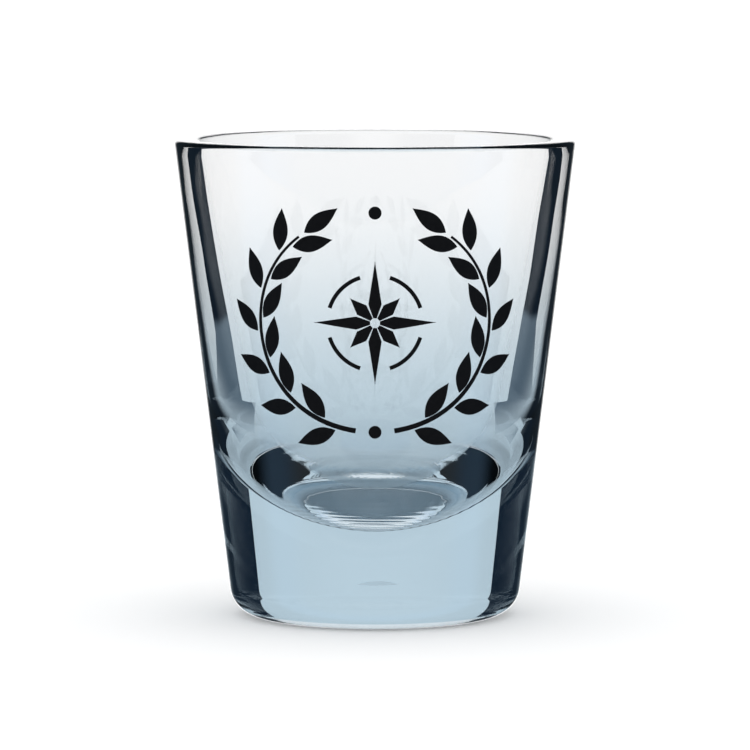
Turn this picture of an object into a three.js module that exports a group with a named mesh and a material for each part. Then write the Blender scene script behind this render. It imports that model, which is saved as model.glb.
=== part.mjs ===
// A shot glass: a pressed glass body with a heavy solid base, a translucent blue lacquer coat on
// most of its outside, and a black print on the front. The print is a wreath round a compass star.
// Each island of ink is a film of its own, as it lies on the real glass.
//
// Units are millimetres and +Z is up. The origin is on the axis, at the level the glass stands on.
// The front of the glass, which carries the print, faces -Y.

import * as THREE from 'three';

// ---------------------------------------------------------------- driving dimensions

const HEIGHT = 60.5; // from the table to the top of the lip
const RIM_RADIUS = 25.4; // the widest point, on the outside of the lip
const LIP_CORNER_RADIUS = 0.55; // the fire-polished corners on both sides of the lip
const LIP_DOME = 0.12; // rise of the lip's top above its corners
const OUTER_TAPER = degrees(7); // lean of the outer wall from upright
const INNER_TAPER = degrees(11.5); // lean of the inner wall from upright

const FLOOR_THICKNESS = 12.1; // solid glass under the middle of the cavity
const BOWL_RADIUS = 16.7; // half width of the ellipse that closes the cavity
const BOWL_DEPTH = 22.4; // half height of that ellipse

const FOOT_CORNER_RADIUS = 3.9; // between the outer wall and the underside
const PUNT_RADIUS = 12; // the shallow hollow under the base
const PUNT_DEPTH = 0.5;

const COAT_TOP = 54; // the height at which the blue has faded out
const COAT_START = degrees(-60); // where the coat begins on the foot's corner
const COAT_THICKNESS = 0.1;
const INK_THICKNESS = 0.1;
const FILM_GAP = 0.03; // clearance under each film

const ROUND_SEGMENTS = 72; // facets round the axis

// The print is drawn flat, in x along the surface and y up, from its own middle.
const PRINT_HEIGHT = 38.9; // the print's middle above the table
const WREATH_HALF_WIDTH = 15.2;
const WREATH_HALF_HEIGHT = 13.6;
const STEM_START = degrees(9); // from straight down, on each side
const STEM_END = degrees(141);
const STEM_HALF_WIDTH = 0.32;
const LEAF_PAIRS = 6; // on each stem
const LEAF_LENGTH = 5.2;
const LEAF_HALF_WIDTH = 1.02;
const LEAF_SPREAD = degrees(34); // between a leaf and its stem
const LEAF_GAP = 0.5; // between a leaf's foot and the middle of the stem
const BERRY_RADIUS = 0.8;
const STAR_LONG_RAY = 7.6;
const STAR_SHORT_RAY = 4.3;
const STAR_RAY_HALF_WIDTH = 0.82;
const STAR_SHOULDER = 2.3; // how far out the rays are widest
const STAR_HUB = 0.6; // the rays stop short of the star's middle
const RING_RADIUS = 5.9; // the broken ring between the long rays
const RING_HALF_WIDTH = 0.25;
const RING_SPAN = degrees(54);
const TIP_HALF_WIDTH = 0.05; // ink never comes to a perfect point

const GLASS_FINISH = { color: 0xe8f0f2, roughness: 0.05, metalness: 0 };
const COAT_FINISH = { color: 0x8fb4cc, roughness: 0.1, metalness: 0 };
const INK_FINISH = { color: 0x0a0a0b, roughness: 0.35, metalness: 0 };

// ---------------------------------------------------------------- plain geometry helpers

function degrees(angle) {
  return (angle * Math.PI) / 180;
}

function direction(angle) {
  return new THREE.Vector2(Math.cos(angle), Math.sin(angle));
}

// Points along an arc of a circle or an upright ellipse, both ends included.
function arc(centre, halfWidth, halfHeight, from, to, steps) {
  const points = [];
  for (let i = 0; i <= steps; i += 1) {
    const angle = from + ((to - from) * i) / steps;
    const x = centre.x + halfWidth * Math.cos(angle);
    const y = centre.y + halfHeight * Math.sin(angle);
    points.push(new THREE.Vector2(x, y));
  }
  return points;
}

function circleArc(centre, radius, from, to, steps) {
  return arc(centre, radius, radius, from, to, steps);
}

// Turns a profile of (radius, height) points about the Z axis.
function revolve(profile) {
  const geometry = new THREE.LatheGeometry(profile, ROUND_SEGMENTS);
  geometry.rotateX(Math.PI / 2);
  return geometry;
}

function part(name, geometry, finish) {
  const mesh = new THREE.Mesh(geometry, new THREE.MeshStandardMaterial(finish));
  mesh.name = name;
  return mesh;
}

// ---------------------------------------------------------------- the walls' shared lines

const lipCorner = new THREE.Vector2(
  RIM_RADIUS - LIP_CORNER_RADIUS,
  HEIGHT - LIP_DOME - LIP_CORNER_RADIUS,
);

// The outer wall runs straight down from where it leaves the lip's outer corner.
const outerWallTop = lipCorner.clone().addScaledVector(direction(-OUTER_TAPER), LIP_CORNER_RADIUS);

function outerRadius(height) {
  return outerWallTop.x - (outerWallTop.y - height) * Math.tan(OUTER_TAPER);
}

// The foot's corner touches both the table and the outer wall.
const footCorner = new THREE.Vector2(
  outerRadius(0) - (FOOT_CORNER_RADIUS * (1 - Math.sin(OUTER_TAPER))) / Math.cos(OUTER_TAPER),
  FOOT_CORNER_RADIUS,
);

// The inner wall leaves the bowl's ellipse where the ellipse is as steep as the wall.
const bowlCentre = new THREE.Vector2(0, FLOOR_THICKNESS + BOWL_DEPTH);
const bowlJoin = Math.atan((BOWL_DEPTH / BOWL_RADIUS) * Math.tan(INNER_TAPER));

// ---------------------------------------------------------------- glass body

function puntProfile() {
  const radius = (PUNT_RADIUS ** 2 + PUNT_DEPTH ** 2) / (2 * PUNT_DEPTH);
  const centre = new THREE.Vector2(0, PUNT_DEPTH - radius);
  const edge = Math.acos(PUNT_RADIUS / radius);
  return circleArc(centre, radius, Math.PI / 2, edge, 4);
}

// Two rounded corners at one height, with one shallow arc across them.
function lipProfile() {
  const bowlEnd = arc(bowlCentre, BOWL_RADIUS, BOWL_DEPTH, -bowlJoin, -bowlJoin, 1)[0];
  const wallFacing = Math.PI - INNER_TAPER;
  const reach = lipCorner.clone().sub(bowlEnd).dot(direction(wallFacing));
  const width = (reach + LIP_CORNER_RADIUS) / Math.cos(wallFacing);
  const innerCorner = new THREE.Vector2(lipCorner.x - width, lipCorner.y);
  const topRadius = LIP_CORNER_RADIUS + LIP_DOME / 2 + width ** 2 / (8 * LIP_DOME);
  const topCentre = new THREE.Vector2(lipCorner.x - width / 2, HEIGHT - topRadius);
  const topStart = Math.atan2(lipCorner.y - topCentre.y, width / 2);
  const topEnd = Math.PI - topStart;
  return [
    ...circleArc(lipCorner, LIP_CORNER_RADIUS, -OUTER_TAPER, topStart, 5),
    ...circleArc(topCentre, topRadius, topStart, topEnd, 4).slice(1),
    ...circleArc(innerCorner, LIP_CORNER_RADIUS, topEnd, wallFacing, 4).slice(1),
  ];
}

function glassBody() {
  const profile = [
    ...puntProfile(),
    ...circleArc(footCorner, FOOT_CORNER_RADIUS, -Math.PI / 2, -OUTER_TAPER, 6),
    ...lipProfile(),
    ...arc(bowlCentre, BOWL_RADIUS, BOWL_DEPTH, -bowlJoin, -Math.PI / 2, 12),
  ];
  return part('glass_body', revolve(profile), GLASS_FINISH);
}

// ---------------------------------------------------------------- blue coat

// One face of the coat, at the given height above the glass, from the foot upwards.
function coatFace(lift) {
  const corner = circleArc(footCorner, FOOT_CORNER_RADIUS + lift, COAT_START, -OUTER_TAPER, 4);
  const top = new THREE.Vector2(outerRadius(COAT_TOP) + lift / Math.cos(OUTER_TAPER), COAT_TOP);
  return [...corner, top];
}

function tintCoat() {
  const inside = coatFace(FILM_GAP);
  const outside = coatFace(FILM_GAP + COAT_THICKNESS);
  const profile = [...outside, ...inside.reverse(), outside[0]];
  return part('tint_coat', revolve(profile), COAT_FINISH);
}

// ---------------------------------------------------------------- printed ink

const INK_LIFT = FILM_GAP + COAT_THICKNESS + FILM_GAP;

// Wraps a point of the flat drawing round the outer wall, at the given height above the glass.
function wrap(point, lift) {
  const height = PRINT_HEIGHT + point.y;
  const radius = outerRadius(height);
  const angle = point.x / radius;
  const reach = radius + lift;
  return [reach * Math.sin(angle), -reach * Math.cos(angle), height];
}

// A film of ink along a path. Each station of the path has a point and a half width.
function inkIsland(name, stations) {
  const positions = [];
  stations.forEach((station, i) => {
    const before = stations[Math.max(i - 1, 0)].point;
    const after = stations[Math.min(i + 1, stations.length - 1)].point;
    const along = after.clone().sub(before).normalize();
    const across = new THREE.Vector2(along.y, -along.x);
    const right = station.point.clone().addScaledVector(across, station.halfWidth);
    const left = station.point.clone().addScaledVector(across, -station.halfWidth);
    positions.push(...wrap(right, INK_LIFT + INK_THICKNESS), ...wrap(left, INK_LIFT + INK_THICKNESS));
    positions.push(...wrap(left, INK_LIFT), ...wrap(right, INK_LIFT));
  });

  const indices = [];
  const quad = (a, b, c, d) => indices.push(a, b, c, a, c, d);
  for (let i = 0; i < stations.length - 1; i += 1) {
    for (let side = 0; side < 4; side += 1) {
      const next = (side + 1) % 4;
      quad(4 * i + side, 4 * i + 4 + side, 4 * i + 4 + next, 4 * i + next);
    }
  }
  const last = 4 * (stations.length - 1);
  quad(0, 1, 2, 3);
  quad(last + 3, last + 2, last + 1, last);

  const geometry = new THREE.BufferGeometry();
  geometry.setAttribute('position', new THREE.Float32BufferAttribute(positions, 3));
  geometry.setIndex(indices);
  geometry.computeVertexNormals();
  return part(name, geometry, INK_FINISH);
}

// Stations along a path, where both the path and the half width are functions of 0 to 1.
function alongPath(pathPoint, halfWidth, steps) {
  const stations = [];
  for (let i = 0; i <= steps; i += 1) {
    const t = i / steps;
    stations.push({ point: pathPoint(t), halfWidth: Math.max(halfWidth(t), TIP_HALF_WIDTH) });
  }
  return stations;
}

function straightPath(from, heading, length) {
  return (t) => from.clone().addScaledVector(heading, length * t);
}

// A point on the wreath's oval. The angle is from straight down, and side is -1 or 1.
function ovalPoint(angle, side) {
  const x = side * WREATH_HALF_WIDTH * Math.sin(angle);
  return new THREE.Vector2(x, -WREATH_HALF_HEIGHT * Math.cos(angle));
}

function ovalHeading(angle, side) {
  const x = side * WREATH_HALF_WIDTH * Math.cos(angle);
  return new THREE.Vector2(x, WREATH_HALF_HEIGHT * Math.sin(angle)).normalize();
}

function stem(name, side) {
  const path = (t) => ovalPoint(STEM_START + (STEM_END - STEM_START) * t, side);
  const halfWidth = (t) => STEM_HALF_WIDTH * (1 - 0.5 * t);
  return inkIsland(name, alongPath(path, halfWidth, 22));
}

// A leaf that springs from the stem at the given angle round the oval, turned by spread.
function leaf(name, angle, side, spread) {
  const heading = ovalHeading(angle, side).rotateAround(new THREE.Vector2(), spread);
  const foot = ovalPoint(angle, side).addScaledVector(heading, LEAF_GAP / Math.sin(LEAF_SPREAD));
  const halfWidth = (t) => LEAF_HALF_WIDTH * Math.sin(Math.PI * t ** 0.85);
  return inkIsland(name, alongPath(straightPath(foot, heading, LEAF_LENGTH), halfWidth, 7));
}

function branch(sideName, side) {
  const pieces = [stem(`print_stem_${sideName}`, side)];
  const step = (STEM_END - STEM_START) / LEAF_PAIRS;
  for (let i = 0; i < LEAF_PAIRS; i += 1) {
    const outer = STEM_START + step * (i + 0.3);
    const inner = STEM_START + step * (i + 0.6);
    pieces.push(leaf(`print_leaf_${sideName}_outer_${i + 1}`, outer, side, -side * LEAF_SPREAD));
    pieces.push(leaf(`print_leaf_${sideName}_inner_${i + 1}`, inner, side, side * LEAF_SPREAD));
  }
  pieces.push(leaf(`print_leaf_${sideName}_tip`, STEM_END, side, 0));
  return pieces;
}

function berry(name, centre) {
  const path = (t) => centre.clone().add(new THREE.Vector2(-BERRY_RADIUS * Math.cos(Math.PI * t), 0));
  const halfWidth = (t) => BERRY_RADIUS * Math.sin(Math.PI * t);
  return inkIsland(name, alongPath(path, halfWidth, 8));
}

function starRay(name, angle, length) {
  const heading = direction(angle);
  const distance = (t) => STAR_HUB + (length - STAR_HUB) * t;
  const path = (t) => heading.clone().multiplyScalar(distance(t));
  const halfWidth = (t) => {
    const widening = distance(t) / STAR_SHOULDER;
    const narrowing = (length - distance(t)) / (length - STAR_SHOULDER);
    return STAR_RAY_HALF_WIDTH * Math.min(widening, narrowing);
  };
  return inkIsland(name, alongPath(path, halfWidth, 8));
}

function ringArc(name, middle) {
  const path = (t) => direction(middle + RING_SPAN * (t - 0.5)).multiplyScalar(RING_RADIUS);
  return inkIsland(name, alongPath(path, () => RING_HALF_WIDTH, 6));
}

function compassStar() {
  const pieces = [];
  ['east', 'north', 'west', 'south'].forEach((name, i) => {
    pieces.push(starRay(`print_star_ray_${name}`, degrees(90 * i), STAR_LONG_RAY));
  });
  ['northeast', 'northwest', 'southwest', 'southeast'].forEach((name, i) => {
    const angle = degrees(45 + 90 * i);
    pieces.push(starRay(`print_star_ray_${name}`, angle, STAR_SHORT_RAY));
    pieces.push(ringArc(`print_ring_arc_${name}`, angle));
  });
  return pieces;
}

function wreath() {
  return [
    ...branch('left', -1),
    ...branch('right', 1),
    berry('print_berry_bottom', new THREE.Vector2(0, -WREATH_HALF_HEIGHT)),
    berry('print_berry_top', new THREE.Vector2(0, WREATH_HALF_HEIGHT)),
  ];
}

// ---------------------------------------------------------------- assembly

const shotGlass = new THREE.Group();
shotGlass.add(glassBody());
shotGlass.add(tintCoat());
shotGlass.add(...wreath());
shotGlass.add(...compassStar());

export default shotGlass;
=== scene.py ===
"""A shot glass with a heavy solid base, a blue fade on its lower half and a printed wreath.

The glass and its blue coat are one fine turned mesh, because light has to meet coat and glass as one
surface. Each island of ink is a thin film of its own on the outer wall. Everything is in metres, +Z
up, with the print facing -Y.
"""

import math

import bpy
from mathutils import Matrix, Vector, noise


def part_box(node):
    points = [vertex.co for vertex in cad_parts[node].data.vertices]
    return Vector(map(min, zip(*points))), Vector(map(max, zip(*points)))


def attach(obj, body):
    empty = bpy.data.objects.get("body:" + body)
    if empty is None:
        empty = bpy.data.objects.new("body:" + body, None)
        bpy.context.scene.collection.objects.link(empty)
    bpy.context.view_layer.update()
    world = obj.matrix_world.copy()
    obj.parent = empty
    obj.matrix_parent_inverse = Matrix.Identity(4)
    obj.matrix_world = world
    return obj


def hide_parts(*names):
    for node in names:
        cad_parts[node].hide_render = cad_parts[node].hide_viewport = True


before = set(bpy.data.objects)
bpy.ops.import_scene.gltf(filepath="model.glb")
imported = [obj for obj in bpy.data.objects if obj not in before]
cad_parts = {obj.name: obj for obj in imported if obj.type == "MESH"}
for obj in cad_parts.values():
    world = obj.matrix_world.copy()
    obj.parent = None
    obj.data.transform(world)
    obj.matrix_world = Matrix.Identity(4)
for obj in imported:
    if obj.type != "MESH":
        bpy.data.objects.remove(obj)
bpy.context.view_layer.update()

MM = 0.001

# ---------------------------------------------------------------- sizes

glass_low, glass_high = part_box("glass_body")
HEIGHT = glass_high.z
RIM_RADIUS = glass_high.x
LIP_CORNER_RADIUS = 0.55 * MM
LIP_DOME = 0.12 * MM
OUTER_TAPER = math.radians(7)
INNER_TAPER = math.radians(11.5)
FLOOR_THICKNESS = 12.1 * MM
BOWL_RADIUS = 16.7 * MM
BOWL_DEPTH = 22.4 * MM
FOOT_CORNER_RADIUS = 3.9 * MM
PUNT_RADIUS = 12 * MM
PUNT_DEPTH = 0.5 * MM

PROFILE_STEP = 1.1 * MM
TURN_STEPS = 288
PUNT_STEPS = 24
FOOT_STEPS = 24
LIP_OUTER_STEPS = 20
LIP_TOP_STEPS = 16
LIP_INNER_STEPS = 16
BOWL_STEPS = 150
OUTER_SKIN = 1 * MM

OUTER_WAVE_HEIGHT = 0.008 * MM
OUTER_WAVE_LENGTH = 6 * MM
INNER_WAVE_HEIGHT = 0.04 * MM
INNER_WAVE_LENGTH = 9 * MM
RIPPLE_HEIGHT = 0.04 * MM
RIPPLE_LENGTH = 0.8 * MM
RIPPLE_WANDER = 0.9 * MM
RIPPLED_RADIUS = 10.5 * MM

PRINT_HEIGHT = 38.9 * MM
WREATH_HALF_WIDTH = 15.2 * MM
WREATH_HALF_HEIGHT = 13.6 * MM
STEM_START = math.radians(9)
STEM_END = math.radians(141)
STEM_HALF_WIDTH = 0.32 * MM
STEM_THINNING = 0.5
STEM_STEPS = 80
LEAF_PAIRS = 6
LEAF_LENGTH = 5.2 * MM
LEAF_HALF_WIDTH = 1.02 * MM
LEAF_SPREAD = math.radians(34)
LEAF_GAP = 0.5 * MM
LEAF_FULLNESS = 0.85
OUTER_LEAF_PLACE = 0.3
INNER_LEAF_PLACE = 0.6
BERRY_RADIUS = 0.8 * MM
BERRY_STEPS = 32
STAR_LONG_RAY = 7.6 * MM
STAR_SHORT_RAY = 4.3 * MM
STAR_RAY_HALF_WIDTH = 0.82 * MM
STAR_SHOULDER = 2.3 * MM
STAR_HUB = 0.6 * MM
RING_RADIUS = 5.9 * MM
RING_HALF_WIDTH = 0.25 * MM
RING_SPAN = math.radians(54)
INK_STEPS = 24
INK_TIP_HALF_WIDTH = 0.03 * MM
INK_SUNK = 0.03 * MM
INK_PROUD = 0.03 * MM

GLASS_IOR = 1.52
FADE_TOP = 56 * MM
FADE_FULL = 17 * MM
FULL_TINT = (0.444, 0.574, 0.66, 1)

INK_SPECULAR = 0.06
INK_GRAIN_SCALE = 2200
INK_GRAIN_DETAIL = 3
INK_DARKEST = (0.002, 0.002, 0.0025, 1)
INK_PALEST = (0.006, 0.006, 0.007, 1)
INK_SMOOTHEST = 0.35
INK_ROUGHEST = 0.65
INK_RELIEF_STRENGTH = 0.3
INK_RELIEF_DEPTH = 0.01 * MM

# ---------------------------------------------------------------- profile of the glass


def direction(angle):
    return Vector((math.cos(angle), math.sin(angle)))


def arc(centre, half_width, half_height, start, end, steps):
    """Points of (radius, height) along an arc of an upright ellipse, both ends included."""
    points = []
    for i in range(steps + 1):
        angle = start + (end - start) * i / steps
        x = centre.x + half_width * math.cos(angle)
        z = centre.y + half_height * math.sin(angle)
        points.append(Vector((x, z)))
    return points


def circle_arc(centre, radius, start, end, steps):
    return arc(centre, radius, radius, start, end, steps)


lip_corner = Vector((RIM_RADIUS - LIP_CORNER_RADIUS, HEIGHT - LIP_DOME - LIP_CORNER_RADIUS))
outer_wall_top = lip_corner + LIP_CORNER_RADIUS * direction(-OUTER_TAPER)
bowl_centre = Vector((0, FLOOR_THICKNESS + BOWL_DEPTH))
bowl_join = math.atan(BOWL_DEPTH / BOWL_RADIUS * math.tan(INNER_TAPER))


def outer_radius(height):
    return outer_wall_top.x - (outer_wall_top.y - height) * math.tan(OUTER_TAPER)


def punt_profile():
    radius = (PUNT_RADIUS**2 + PUNT_DEPTH**2) / (2 * PUNT_DEPTH)
    centre = Vector((0, PUNT_DEPTH - radius))
    return circle_arc(centre, radius, math.pi / 2, math.acos(PUNT_RADIUS / radius), PUNT_STEPS)


def foot_profile():
    across = FOOT_CORNER_RADIUS * (1 - math.sin(OUTER_TAPER)) / math.cos(OUTER_TAPER)
    centre = Vector((outer_radius(0) - across, FOOT_CORNER_RADIUS))
    return circle_arc(centre, FOOT_CORNER_RADIUS, -math.pi / 2, -OUTER_TAPER, FOOT_STEPS)


def lip_profile():
    """Two rounded corners at one height, with one shallow arc across them."""
    wall_facing = math.pi - INNER_TAPER
    bowl_end = arc(bowl_centre, BOWL_RADIUS, BOWL_DEPTH, -bowl_join, -bowl_join, 1)[0]
    reach = (lip_corner - bowl_end).dot(direction(wall_facing))
    width = (reach + LIP_CORNER_RADIUS) / math.cos(wall_facing)
    inner_corner = lip_corner - Vector((width, 0))
    top_radius = LIP_CORNER_RADIUS + LIP_DOME / 2 + width**2 / (8 * LIP_DOME)
    top_centre = Vector((lip_corner.x - width / 2, HEIGHT - top_radius))
    top_start = math.atan2(lip_corner.y - top_centre.y, width / 2)
    top_end = math.pi - top_start
    outer = circle_arc(lip_corner, LIP_CORNER_RADIUS, -OUTER_TAPER, top_start, LIP_OUTER_STEPS)
    top = circle_arc(top_centre, top_radius, top_start, top_end, LIP_TOP_STEPS)
    inner = circle_arc(inner_corner, LIP_CORNER_RADIUS, top_end, wall_facing, LIP_INNER_STEPS)
    return outer + top[1:] + inner[1:]


def bowl_profile():
    return arc(bowl_centre, BOWL_RADIUS, BOWL_DEPTH, -bowl_join, -math.pi / 2, BOWL_STEPS)


def filled_in(points, step):
    """The same line with no gap between points longer than step."""
    filled = [points[0]]
    for start, end in zip(points, points[1:]):
        parts = max(1, math.ceil((end - start).length / step))
        for i in range(1, parts + 1):
            filled.append(start.lerp(end, i / parts))
    return filled


# ---------------------------------------------------------------- meshes


def mesh_object(name, points, faces, smooth=True):
    mesh = bpy.data.meshes.new(name)
    mesh.from_pydata(points, [], faces)
    mesh.update()
    if smooth:
        mesh.shade_smooth()
    piece = bpy.data.objects.new(name, mesh)
    bpy.context.scene.collection.objects.link(piece)
    return piece


def turned(name, profile, steps):
    """A closed solid from a profile that starts and ends on the axis."""
    rings = profile[1:-1]
    points = [(0, 0, profile[0].y), (0, 0, profile[-1].y)]
    for ring in rings:
        for i in range(steps):
            angle = 2 * math.pi * i / steps
            points.append((ring.x * math.sin(angle), -ring.x * math.cos(angle), ring.y))
    faces = []
    last = 2 + steps * (len(rings) - 1)
    for i in range(steps):
        after = (i + 1) % steps
        faces.append((0, 2 + after, 2 + i))
        faces.append((1, last + i, last + after))
        for ring in range(len(rings) - 1):
            low = 2 + steps * ring
            faces.append((low + i, low + after, low + steps + after, low + steps + i))
    return mesh_object(name, points, faces)


def glass_piece():
    profile = punt_profile() + foot_profile() + lip_profile() + bowl_profile()
    piece = turned("shot_glass", filled_in(profile, PROFILE_STEP), TURN_STEPS)
    mark_tinted_side(piece)
    make_uneven(piece)
    return piece


def is_outside(point):
    return math.hypot(point.x, point.y) > outer_radius(point.z) - OUTER_SKIN


def mark_tinted_side(piece):
    """Gives each point 1 on the outer wall, which the coat covers, and 0 on the cavity's wall."""
    mark = piece.data.attributes.new("outside", "FLOAT", "POINT")
    for vertex in piece.data.vertices:
        mark.data[vertex.index].value = float(is_outside(vertex.co))


def ripple(point):
    """Height of the rings that the pressing tool leaves in the bowl."""
    radius = math.hypot(point.x, point.y)
    if radius > RIPPLED_RADIUS:
        return 0
    wander = RIPPLE_WANDER * noise.noise(Vector((point.x, point.y, 0)) / INNER_WAVE_LENGTH)
    strength = math.sin(math.pi * radius / RIPPLED_RADIUS)
    crest = math.sin(math.pi * (radius + wander) / RIPPLE_LENGTH) ** 2
    return RIPPLE_HEIGHT * strength * crest


def make_uneven(piece):
    """Moves each point a few hundredths of a millimetre, because pressed glass is never quite true."""
    moves = []
    for vertex in piece.data.vertices:
        point = vertex.co
        if is_outside(point):
            height = OUTER_WAVE_HEIGHT * noise.noise(point / OUTER_WAVE_LENGTH)
        elif point.z > FLOOR_THICKNESS / 2:
            height = INNER_WAVE_HEIGHT * noise.noise(point / INNER_WAVE_LENGTH) + ripple(point)
        else:
            height = 0
        moves.append(vertex.normal * height)
    for vertex, move in zip(piece.data.vertices, moves):
        vertex.co += move
    piece.data.update()


# ---------------------------------------------------------------- ink


def wrapped(point, lift):
    """A point of the flat drawing on the outer wall, at the given height above the glass."""
    height = PRINT_HEIGHT + point.y
    radius = outer_radius(height)
    angle = point.x / radius
    reach = radius + lift
    return (reach * math.sin(angle), -reach * math.cos(angle), height)


def ink_island(name, stations):
    """A film of ink along a path, from stations of (point, half width)."""
    points = []
    for i, (point, half_width) in enumerate(stations):
        before = stations[max(i - 1, 0)][0]
        after = stations[min(i + 1, len(stations) - 1)][0]
        along = (after - before).normalized()
        across = Vector((along.y, -along.x)) * half_width
        points.append(wrapped(point + across, INK_PROUD))
        points.append(wrapped(point - across, INK_PROUD))
        points.append(wrapped(point - across, -INK_SUNK))
        points.append(wrapped(point + across, -INK_SUNK))
    faces = [(0, 1, 2, 3)]
    for i in range(len(stations) - 1):
        for side in range(4):
            after = (side + 1) % 4
            faces.append((4 * i + side, 4 * i + 4 + side, 4 * i + 4 + after, 4 * i + after))
    last = 4 * (len(stations) - 1)
    faces.append((last + 3, last + 2, last + 1, last))
    return mesh_object(name, points, faces, smooth=False)


def along_path(path_point, half_width, steps):
    stations = []
    for i in range(steps + 1):
        t = i / steps
        stations.append((path_point(t), max(half_width(t), INK_TIP_HALF_WIDTH)))
    return stations


def oval_point(angle, side):
    x = side * WREATH_HALF_WIDTH * math.sin(angle)
    return Vector((x, -WREATH_HALF_HEIGHT * math.cos(angle)))


def oval_heading(angle, side):
    x = side * WREATH_HALF_WIDTH * math.cos(angle)
    return Vector((x, WREATH_HALF_HEIGHT * math.sin(angle))).normalized()


def turned_by(vector, angle):
    c, s = math.cos(angle), math.sin(angle)
    return Vector((c * vector.x - s * vector.y, s * vector.x + c * vector.y))


def stem(side_name, side):
    def path(t):
        return oval_point(STEM_START + (STEM_END - STEM_START) * t, side)

    def half_width(t):
        return STEM_HALF_WIDTH * (1 - STEM_THINNING * t)

    return ink_island(f"ink_stem_{side_name}", along_path(path, half_width, STEM_STEPS))


def leaf(name, angle, side, spread):
    heading = turned_by(oval_heading(angle, side), spread)
    foot = oval_point(angle, side) + heading * LEAF_GAP / math.sin(LEAF_SPREAD)

    def path(t):
        return foot + heading * LEAF_LENGTH * t

    def half_width(t):
        return LEAF_HALF_WIDTH * math.sin(math.pi * t**LEAF_FULLNESS)

    return ink_island(name, along_path(path, half_width, INK_STEPS))


def branch(side_name, side):
    pieces = [stem(side_name, side)]
    step = (STEM_END - STEM_START) / LEAF_PAIRS
    for i in range(LEAF_PAIRS):
        outer = STEM_START + step * (i + OUTER_LEAF_PLACE)
        inner = STEM_START + step * (i + INNER_LEAF_PLACE)
        pieces.append(leaf(f"ink_leaf_{side_name}_outer_{i + 1}", outer, side, -side * LEAF_SPREAD))
        pieces.append(leaf(f"ink_leaf_{side_name}_inner_{i + 1}", inner, side, side * LEAF_SPREAD))
    pieces.append(leaf(f"ink_leaf_{side_name}_tip", STEM_END, side, 0))
    return pieces


def berry(name, centre):
    def path(t):
        return centre + Vector((-BERRY_RADIUS * math.cos(math.pi * t), 0))

    def half_width(t):
        return BERRY_RADIUS * math.sin(math.pi * t)

    return ink_island(name, along_path(path, half_width, BERRY_STEPS))


def star_ray(name, angle, length):
    def distance(t):
        return STAR_HUB + (length - STAR_HUB) * t

    def path(t):
        return direction(angle) * distance(t)

    def half_width(t):
        widening = distance(t) / STAR_SHOULDER
        narrowing = (length - distance(t)) / (length - STAR_SHOULDER)
        return STAR_RAY_HALF_WIDTH * min(widening, narrowing)

    return ink_island(name, along_path(path, half_width, INK_STEPS))


def ring_arc(name, middle):
    def path(t):
        return direction(middle + RING_SPAN * (t - 0.5)) * RING_RADIUS

    return ink_island(name, along_path(path, lambda t: RING_HALF_WIDTH, INK_STEPS))


def compass_star():
    pieces = []
    for i, name in enumerate(["east", "north", "west", "south"]):
        pieces.append(star_ray(f"ink_star_ray_{name}", math.radians(90 * i), STAR_LONG_RAY))
    for i, name in enumerate(["northeast", "northwest", "southwest", "southeast"]):
        angle = math.radians(45 + 90 * i)
        pieces.append(star_ray(f"ink_star_ray_{name}", angle, STAR_SHORT_RAY))
        pieces.append(ring_arc(f"ink_ring_arc_{name}", angle))
    return pieces


def printed_ink():
    return [
        *branch("left", -1),
        *branch("right", 1),
        berry("ink_berry_bottom", Vector((0, -WREATH_HALF_HEIGHT))),
        berry("ink_berry_top", Vector((0, WREATH_HALF_HEIGHT))),
        *compass_star(),
    ]


# ---------------------------------------------------------------- materials


def new_material(name):
    material = bpy.data.materials.new(name)
    material.use_nodes = True
    return material, material.node_tree.nodes, material.node_tree.links


def glass_material():
    """Clear glass, with the coat's blue on its outer wall.

    The shader tints by the root of its colour at each crossing, so light that goes in and comes out
    takes the blue once.
    """
    material, nodes, links = new_material("blue_fade_glass")
    shader = nodes["Principled BSDF"]
    shader.inputs["Transmission Weight"].default_value = 1
    shader.inputs["Roughness"].default_value = 0
    shader.inputs["IOR"].default_value = GLASS_IOR

    place = nodes.new("ShaderNodeTexCoord")
    split = nodes.new("ShaderNodeSeparateXYZ")
    links.new(place.outputs["Object"], split.inputs[0])
    fade = nodes.new("ShaderNodeMapRange")
    fade.interpolation_type = "SMOOTHSTEP"
    fade.inputs["From Min"].default_value = FADE_TOP
    fade.inputs["From Max"].default_value = FADE_FULL
    links.new(split.outputs["Z"], fade.inputs["Value"])
    outside = nodes.new("ShaderNodeAttribute")
    outside.attribute_name = "outside"
    density = nodes.new("ShaderNodeMath")
    density.operation = "MULTIPLY"
    links.new(fade.outputs["Result"], density.inputs[0])
    links.new(outside.outputs["Fac"], density.inputs[1])
    tint = nodes.new("ShaderNodeGamma")
    tint.inputs["Color"].default_value = FULL_TINT
    links.new(density.outputs[0], tint.inputs["Gamma"])
    links.new(tint.outputs["Color"], shader.inputs["Base Color"])
    return material


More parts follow.
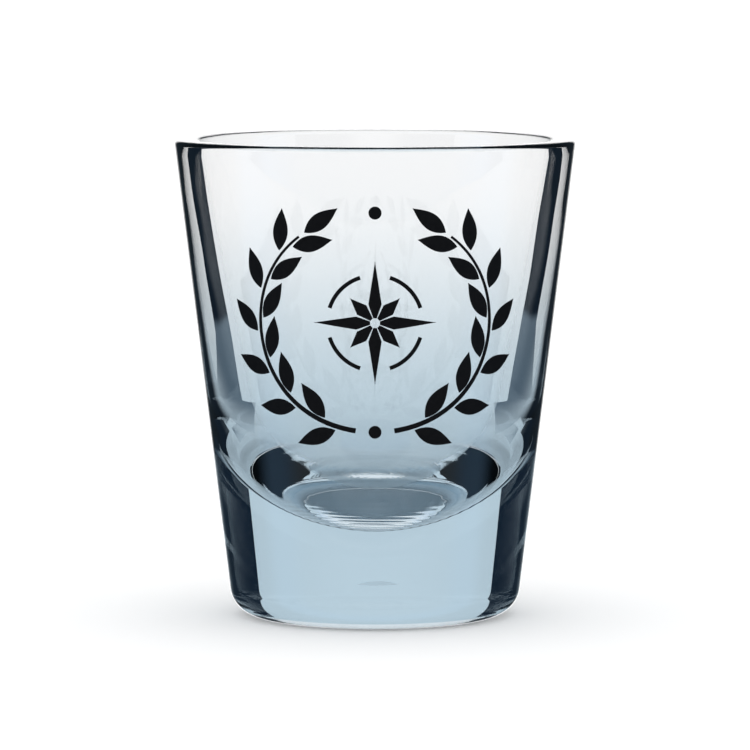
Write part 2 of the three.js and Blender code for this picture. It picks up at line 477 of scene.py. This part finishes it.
def ink_material():
    """Fired black ink, a little mottled and grainy."""
    material, nodes, links = new_material("black_ink")
    shader = nodes["Principled BSDF"]
    shader.inputs["Specular IOR Level"].default_value = INK_SPECULAR

    place = nodes.new("ShaderNodeTexCoord")
    grain = nodes.new("ShaderNodeTexNoise")
    grain.inputs["Scale"].default_value = INK_GRAIN_SCALE
    grain.inputs["Detail"].default_value = INK_GRAIN_DETAIL
    links.new(place.outputs["Object"], grain.inputs["Vector"])

    black = nodes.new("ShaderNodeValToRGB")
    black.color_ramp.elements[0].color = INK_DARKEST
    black.color_ramp.elements[1].color = INK_PALEST
    links.new(grain.outputs["Fac"], black.inputs["Fac"])
    links.new(black.outputs["Color"], shader.inputs["Base Color"])

    gloss = nodes.new("ShaderNodeMapRange")
    gloss.inputs["To Min"].default_value = INK_SMOOTHEST
    gloss.inputs["To Max"].default_value = INK_ROUGHEST
    links.new(grain.outputs["Fac"], gloss.inputs["Value"])
    links.new(gloss.outputs["Result"], shader.inputs["Roughness"])

    relief = nodes.new("ShaderNodeBump")
    relief.inputs["Strength"].default_value = INK_RELIEF_STRENGTH
    relief.inputs["Distance"].default_value = INK_RELIEF_DEPTH
    links.new(grain.outputs["Fac"], relief.inputs["Height"])
    links.new(relief.outputs["Normal"], shader.inputs["Normal"])
    return material


# ---------------------------------------------------------------- stage

TARGET = Vector((0, 0, 30.43 * MM))
CAMERA_DISTANCE = 680 * MM
CAMERA_ELEVATION = math.radians(5.25)
LENS = 257.4
SENSOR_WIDTH = 36


def add_camera():
    data = bpy.data.cameras.new("camera")
    data.lens = LENS
    data.sensor_width = SENSOR_WIDTH
    camera = bpy.data.objects.new("camera", data)
    bpy.context.scene.collection.objects.link(camera)
    away = Vector((0, -math.cos(CAMERA_ELEVATION), math.sin(CAMERA_ELEVATION)))
    camera.location = TARGET + CAMERA_DISTANCE * away
    camera.rotation_euler = (math.pi / 2 - CAMERA_ELEVATION, 0, 0)
    bpy.context.scene.camera = camera


# The room. Each edge is where one part gives way to the next, as the Y of the direction looked in.
WHITE_ROOM = (1.08, 1.08, 1.08, 1)
LIGHT_ON_FLOOR = 1.2
MIRRORED_BACKDROP = (1.7, 1.7, 1.7, 1)
MIRRORED_BACK = (0.03, 0.045, 0.06, 1)
MIRRORED_SIDES = (0.35, 0.63, 0.98, 1)
MIRRORED_FRONT = (0.4, 0.5, 0.58, 1)
BACKDROP_EDGE = (0.93, 0.985)
SIDES_EDGE = (0.1, -0.2)
FRONT_EDGE = (-0.3, -0.6)

FLOOR_HALF_WIDTH = 4
FLOOR_COLOUR = (0.93, 0.93, 0.93, 1)
# Seen through the glass the table is painted dimmer, and under the glass it gets a painted blue shade,
# standing for the shade that the blue coat throws.
FLOOR_PAINTED_DIMMER = (0.775, 0.775, 0.775, 1)
FLOOR_PAINTED_BLUE_SHADE = (0.46, 0.58, 0.67, 1)
UNDER_GLASS_RADIUS = 17 * MM
UNDER_GLASS_BLUR = 3 * MM

# Steps between whole counts. Light crosses two surfaces for each wall of the glass.
MORE_THAN_ONE_WALL = (2.4, 2.6)
NEVER_MIRRORED = (0.6, 0.4)

CARD_X = 70 * MM
CARD_COLOUR = (0.004, 0.009, 0.017, 1)
# The tall card's foot is painted slate: painted shade of the table beside the card, not the card's own
# colour.
CARD_FOOT_PAINTED_SHADE = (0.16, 0.2, 0.24, 1)
CARD_SLANT = (0, 0.17, 1)
CARD_FOOT = 20 * MM
CARD_FOOT_BLUR = 1 * MM
TALL_CARD_NEAR = 40 * MM
TALL_CARD_FAR = 110 * MM
TALL_CARD_HEIGHT = 70 * MM
LOW_CARD_NEAR = -40 * MM
LOW_CARD_FAR = 8 * MM
LOW_CARD_HEIGHT = 20 * MM

# Patches of painted shade on the table, seen only through one wall of the glass. At each side the table
# is painted darker towards the card, as the cards' shade, from this palest colour.
PAINTED_SHADE_PALEST = (0.7, 0.72, 0.74, 1)
SIDE_SHADE_START = 30 * MM
SIDE_SHADE_NEAR = 15 * MM
SIDE_SHADE_FAR = 110 * MM
SIDE_SHADE_LEVEL = 0.1 * MM
# Behind the glass the table is painted with the glass's shadow, darkest in the middle.
BACK_SHADOW_HALF_WIDTH = 42 * MM
BACK_SHADOW_DARKEST = 15 * MM
BACK_SHADOW_PALE = 36 * MM
BACK_SHADOW_NEAR = 50 * MM
BACK_SHADOW_FAR = 240 * MM
BACK_SHADOW_LEVEL = 0.2 * MM

FLAG_DISTANCE = 200 * MM
FLAG_NEAR = 20 * MM
FLAG_FULL = 90 * MM
FLAG_FAR = 253 * MM
FLAG_HEIGHT = 220 * MM
FLAG_COLOUR = (0.008, 0.018, 0.034, 1)


def new_mix(nodes, links, factor, first, second):
    """A colour mix; first and second are each a colour or an output."""
    mix = nodes.new("ShaderNodeMix")
    mix.data_type = "RGBA"
    links.new(factor, mix.inputs["Factor"])
    for name, source in (("A", first), ("B", second)):
        if isinstance(source, tuple):
            mix.inputs[name].default_value = source
        else:
            links.new(source, mix.inputs[name])
    return mix.outputs["Result"]


def smooth_share(nodes, links, value, start, end):
    """0 where the value is at start, 1 where it is at end, and a soft step between."""
    part = nodes.new("ShaderNodeMapRange")
    part.interpolation_type = "SMOOTHSTEP"
    part.inputs["From Min"].default_value = start
    part.inputs["From Max"].default_value = end
    links.new(value, part.inputs["Value"])
    return part.outputs["Result"]


def studio_world():
    """A white room. Mirror reflections alone see it dark behind, blue at the sides and grey in front."""
    world = bpy.data.worlds.new("studio")
    bpy.context.scene.world = world
    world.use_nodes = True
    nodes, links = world.node_tree.nodes, world.node_tree.links

    place = nodes.new("ShaderNodeTexCoord")
    split = nodes.new("ShaderNodeSeparateXYZ")
    links.new(place.outputs["Generated"], split.inputs[0])
    front = smooth_share(nodes, links, split.outputs["Y"], *FRONT_EDGE)
    sides = smooth_share(nodes, links, split.outputs["Y"], *SIDES_EDGE)
    backdrop = smooth_share(nodes, links, split.outputs["Y"], *BACKDROP_EDGE)
    not_behind = new_mix(nodes, links, front, MIRRORED_SIDES, MIRRORED_FRONT)
    all_round = new_mix(nodes, links, sides, MIRRORED_BACK, not_behind)
    room = new_mix(nodes, links, backdrop, all_round, MIRRORED_BACKDROP)

    path = nodes.new("ShaderNodeLightPath")
    mirrored = nodes.new("ShaderNodeMath")
    mirrored.operation = "SUBTRACT"
    mirrored.use_clamp = True
    links.new(path.outputs["Is Glossy Ray"], mirrored.inputs[0])
    links.new(path.outputs["Is Transmission Ray"], mirrored.inputs[1])
    light = new_mix(nodes, links, mirrored.outputs[0], WHITE_ROOM, room)
    links.new(light, nodes["Background"].inputs["Color"])

    lamp = nodes.new("ShaderNodeMapRange")
    lamp.inputs["To Min"].default_value = 1
    lamp.inputs["To Max"].default_value = LIGHT_ON_FLOOR
    links.new(path.outputs["Is Diffuse Ray"], lamp.inputs["Value"])
    links.new(lamp.outputs["Result"], nodes["Background"].inputs["Strength"])


def larger(nodes, links, one, other):
    """The larger of two outputs, as a new output."""
    choice = nodes.new("ShaderNodeMath")
    choice.operation = "MAXIMUM"
    links.new(one, choice.inputs[0])
    links.new(other, choice.inputs[1])
    return choice.outputs[0]


def distance_along(nodes, links, way):
    """How far a point of the stage is from the glass's middle, along the given way."""
    place = nodes.new("ShaderNodeTexCoord")
    away = nodes.new("ShaderNodeVectorMath")
    away.operation = "ABSOLUTE"
    links.new(place.outputs["Object"], away.inputs[0])
    distance = nodes.new("ShaderNodeVectorMath")
    distance.operation = "DOT_PRODUCT"
    distance.inputs[1].default_value = way
    links.new(away.outputs[0], distance.inputs[0])
    return distance.outputs["Value"]


def glow_where_seen(material, colour, hidden):
    """Gives off the colour, and lets light through where hidden is 1."""
    nodes, links = material.node_tree.nodes, material.node_tree.links
    glow = nodes.new("ShaderNodeEmission")
    if isinstance(colour, tuple):
        glow.inputs["Color"].default_value = colour
    else:
        links.new(colour, glow.inputs["Color"])
    clear = nodes.new("ShaderNodeBsdfTransparent")
    choice = nodes.new("ShaderNodeMixShader")
    links.new(hidden, choice.inputs[0])
    links.new(glow.outputs[0], choice.inputs[1])
    links.new(clear.outputs[0], choice.inputs[2])
    links.new(choice.outputs[0], nodes["Material Output"].inputs["Surface"])


def beyond_one_wall(nodes, links, path):
    """1 for light that has crossed more than one wall of the glass."""
    return smooth_share(nodes, links, path.outputs["Transmission Depth"], *MORE_THAN_ONE_WALL)


def only_where_mirrored(material, colour):
    """Seen only by light mirrored inside one wall of the glass."""
    nodes, links = material.node_tree.nodes, material.node_tree.links
    path = nodes.new("ShaderNodeLightPath")
    unmirrored = smooth_share(nodes, links, path.outputs["Glossy Depth"], *NEVER_MIRRORED)
    hidden = larger(nodes, links, beyond_one_wall(nodes, links, path), unmirrored)
    glow_where_seen(material, colour, hidden)


def plain_card_material(name, colour):
    material = new_material(name)[0]
    only_where_mirrored(material, colour)
    return material


def graded_card_material(name, way, start, end, start_colour, end_colour):
    """Changes colour along the given way."""
    material, nodes, links = new_material(name)
    ramp = smooth_share(nodes, links, distance_along(nodes, links, way), start, end)
    only_where_mirrored(material, new_mix(nodes, links, ramp, start_colour, end_colour))
    return material


def flag_material(name, way):
    """Dark, and fading in along the given way from its edge nearest the glass's middle."""
    material, nodes, links = new_material(name)
    path = nodes.new("ShaderNodeLightPath")
    faded = smooth_share(nodes, links, distance_along(nodes, links, way), FLAG_FULL, FLAG_NEAR)
    hidden = larger(nodes, links, beyond_one_wall(nodes, links, path), faded)
    glow_where_seen(material, FLAG_COLOUR, hidden)
    return material


def add_card(name, corners, material):
    card = mesh_object(name, corners, [(0, 1, 2, 3)], smooth=False)
    card.data.materials.append(material)
    card.visible_camera = False
    card.visible_glossy = False
    card.visible_diffuse = False
    card.visible_shadow = False


def upright_card(name, start, end, height, material):
    corners = [(*start, 0), (*end, 0), (*end, height), (*start, height)]
    add_card(name, corners, material)


def floor_patch(name, start, end, near, far, level, material):
    corners = [(start, near, level), (end, near, level), (end, far, level), (start, far, level)]
    add_card(name, corners, material)


def add_cards():
    """Dark cards at both sides, and patches of painted shade on the table (darker towards each card, and
    a painted shadow behind the glass), which draw the dark edges of the glass's wall.
    """
    sideways = (1, 0, 0)
    foot_start = CARD_FOOT - CARD_FOOT_BLUR
    foot_end = CARD_FOOT + CARD_FOOT_BLUR
    tall = graded_card_material(
        "card", CARD_SLANT, foot_start, foot_end, CARD_FOOT_PAINTED_SHADE, CARD_COLOUR
    )
    low = plain_card_material("low_card", CARD_COLOUR)
    # Painted shade on the table beside each card, darker towards the card.
    side_shade = graded_card_material(
        "side_painted_shade", sideways, SIDE_SHADE_START, CARD_X, PAINTED_SHADE_PALEST, CARD_FOOT_PAINTED_SHADE
    )
    # Painted shadow of the glass on the table behind it, darkest in the middle.
    back = graded_card_material(
        "back_painted_shadow", sideways, BACK_SHADOW_DARKEST, BACK_SHADOW_PALE, CARD_COLOUR, PAINTED_SHADE_PALEST
    )
    for side_name, side in (("left", -1), ("right", 1)):
        x = side * CARD_X
        near, far = (x, TALL_CARD_NEAR), (x, TALL_CARD_FAR)
        upright_card(f"card_{side_name}", near, far, TALL_CARD_HEIGHT, tall)
        near, far = (x, LOW_CARD_NEAR), (x, LOW_CARD_FAR)
        upright_card(f"low_card_{side_name}", near, far, LOW_CARD_HEIGHT, low)
        start = side * SIDE_SHADE_START
        floor_patch(f"side_painted_shade_{side_name}", start, x, SIDE_SHADE_NEAR, SIDE_SHADE_FAR, SIDE_SHADE_LEVEL, side_shade)
    start, end = -BACK_SHADOW_HALF_WIDTH, BACK_SHADOW_HALF_WIDTH
    floor_patch("back_painted_shadow", start, end, BACK_SHADOW_NEAR, BACK_SHADOW_FAR, BACK_SHADOW_LEVEL, back)


def add_flags():
    """Larger dark cards farther off, which draw the dark edges of the glass's solid base."""
    side_flag = flag_material("side_flag", (0, 1, 0))
    front_flag = flag_material("front_flag", (1, 0, 0))
    for side_name, side in (("left", -1), ("right", 1)):
        x = side * FLAG_DISTANCE
        upright_card(f"side_flag_{side_name}", (x, FLAG_NEAR), (x, FLAG_FAR), FLAG_HEIGHT, side_flag)
        start = (side * FLAG_NEAR, -FLAG_DISTANCE)
        end = (side * FLAG_FAR, -FLAG_DISTANCE)
        upright_card(f"front_flag_{side_name}", start, end, FLAG_HEIGHT, front_flag)


def add_floor():
    """A white table. Seen through the glass it is painted a little dimmer, and under the glass it is
    painted blue, as painted shade standing for the glass's own shade.
    """
    half = FLOOR_HALF_WIDTH
    corners = [(-half, -half, 0), (half, -half, 0), (half, half, 0), (-half, half, 0)]
    floor = mesh_object("floor", corners, [(0, 1, 2, 3)], smooth=False)
    material, nodes, links = new_material("pale_floor")
    path = nodes.new("ShaderNodeLightPath")
    place = nodes.new("ShaderNodeTexCoord")
    distance = nodes.new("ShaderNodeVectorMath")
    distance.operation = "LENGTH"
    links.new(place.outputs["Object"], distance.inputs[0])
    edge = UNDER_GLASS_RADIUS + UNDER_GLASS_BLUR
    shade = smooth_share(nodes, links, distance.outputs["Value"], edge, UNDER_GLASS_RADIUS)
    through = new_mix(nodes, links, shade, FLOOR_PAINTED_DIMMER, FLOOR_PAINTED_BLUE_SHADE)
    # Rays through the glass see painted colour: dimmer, and a painted blue shade under the glass.
    colour = new_mix(nodes, links, path.outputs["Is Transmission Ray"], FLOOR_COLOUR, through)
    links.new(colour, nodes["Principled BSDF"].inputs["Base Color"])
    nodes["Principled BSDF"].inputs["Roughness"].default_value = 1
    floor.data.materials.append(material)
    floor.visible_glossy = False


# ---------------------------------------------------------------- assembly

glass = glass_piece()
glass.data.materials.append(glass_material())
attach(glass, "root")
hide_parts("glass_body", "tint_coat")

ink = ink_material()
for island in printed_ink():
    island.data.materials.append(ink)
    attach(island, "root")
    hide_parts(island.name.replace("ink_", "print_", 1))

add_camera()
studio_world()
add_cards()
add_flags()
add_floor()
bpy.context.scene.view_settings.view_transform = "Standard"
